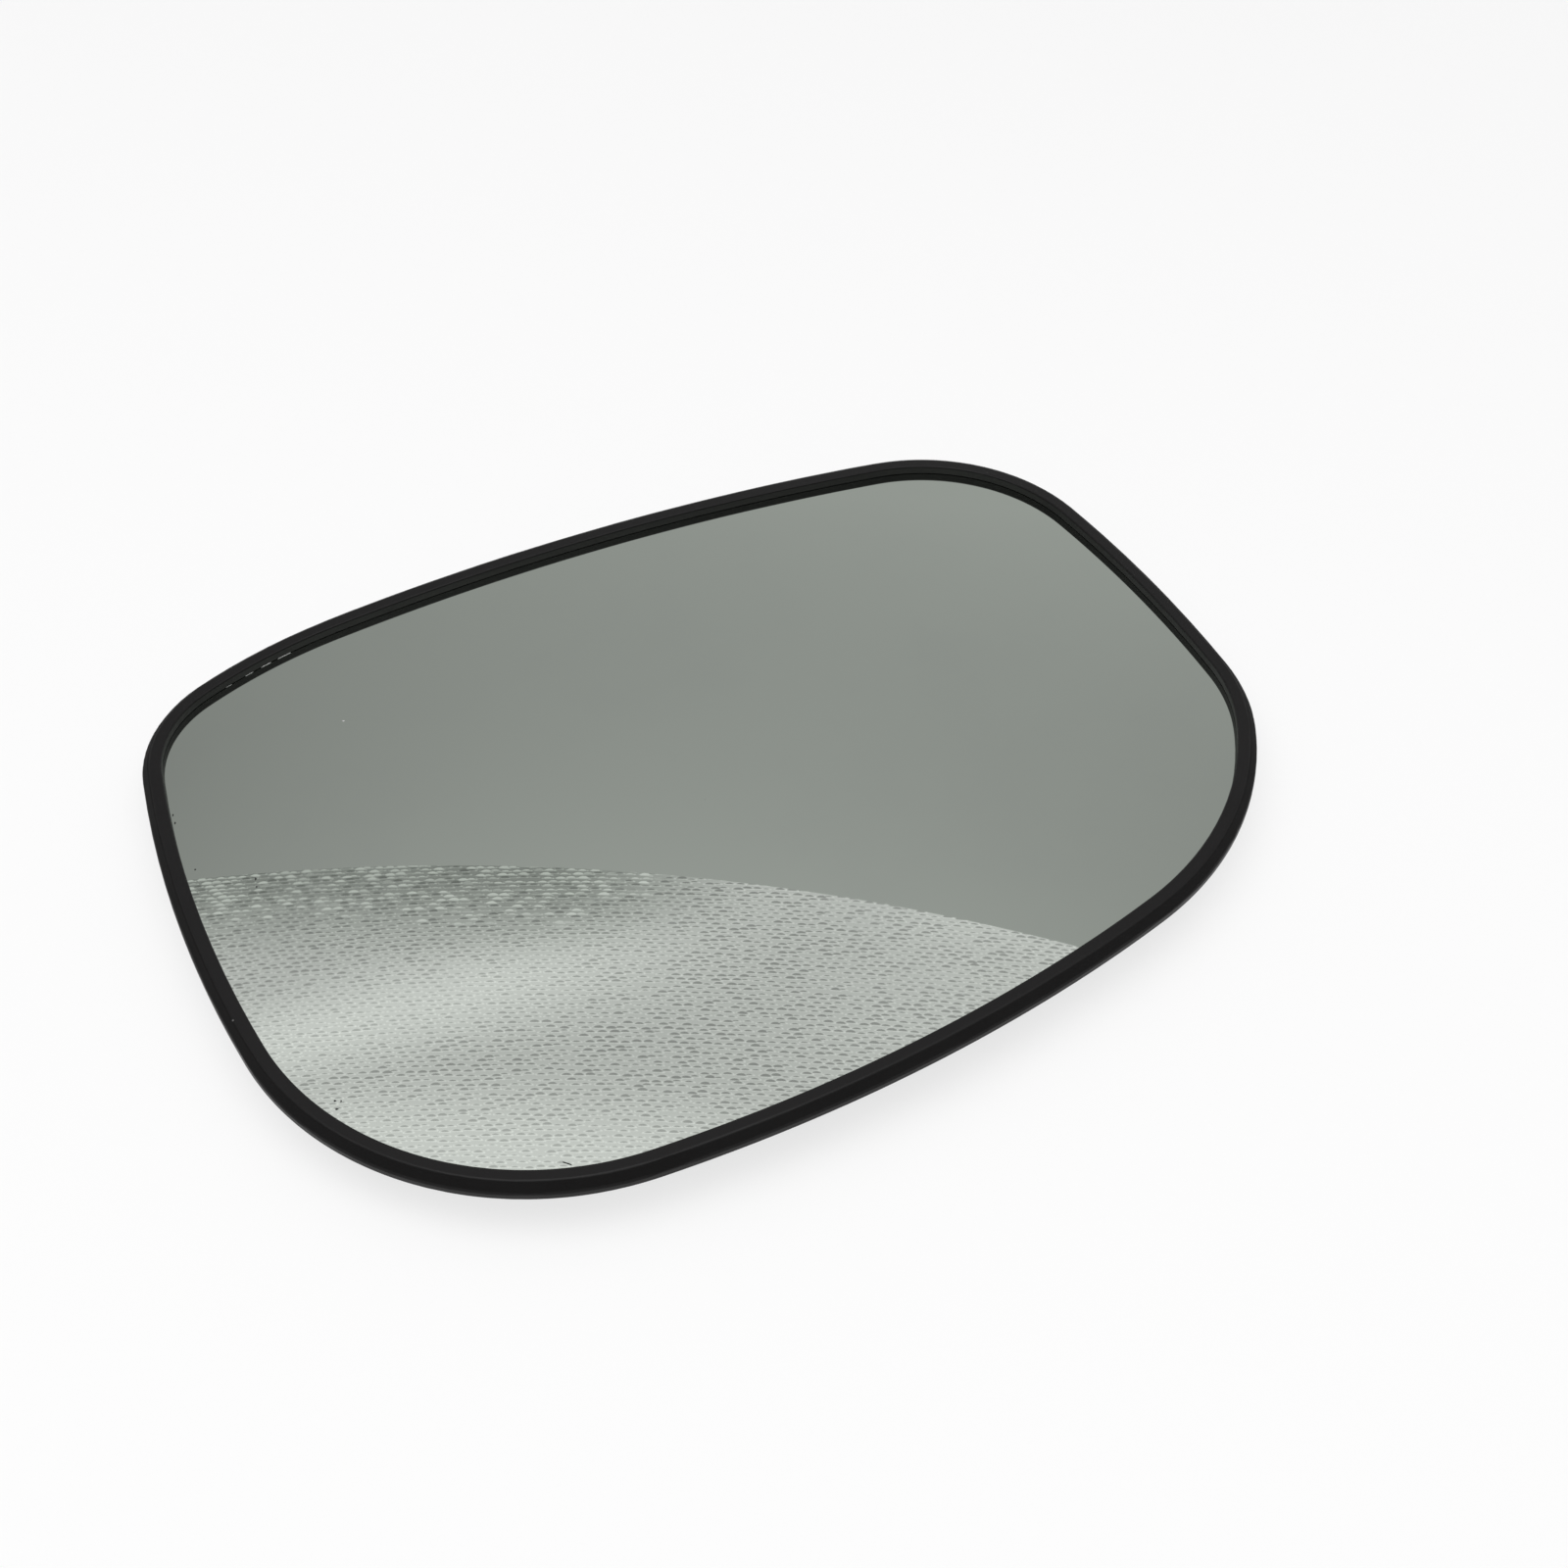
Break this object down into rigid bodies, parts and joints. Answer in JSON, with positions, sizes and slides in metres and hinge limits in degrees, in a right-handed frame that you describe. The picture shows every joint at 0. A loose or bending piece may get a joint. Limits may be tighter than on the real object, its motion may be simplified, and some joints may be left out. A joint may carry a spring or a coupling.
{
  "type": "car door mirror glass",
  "caption": "Convex mirror glass bonded into a black moulded holder with a raised rim, ribbed back and a round clip ring that presses onto a door mirror's drive.",
  "frame": {"origin": "on the axis of the clip ring, at the ring's free end", "axes": "+Z out of the front of the glass, +X along the length towards the narrow end, +Y towards the upper side as the unit sits in a door mirror"},
  "size_m": [0.1898, 0.1426, 0.014],
  "materials": {
    "black_plastic": "satin black moulding with a fine grain",
    "mirror_front": "clean convex mirror with a faint green cast",
    "foam": "closed-cell foam with a glue film"
  },
  "bodies": {
    "root": {"holder": "black_plastic", "mirror_glass": "mirror_front", "adhesive_pad": "foam"}
  },
  "joints": []
}
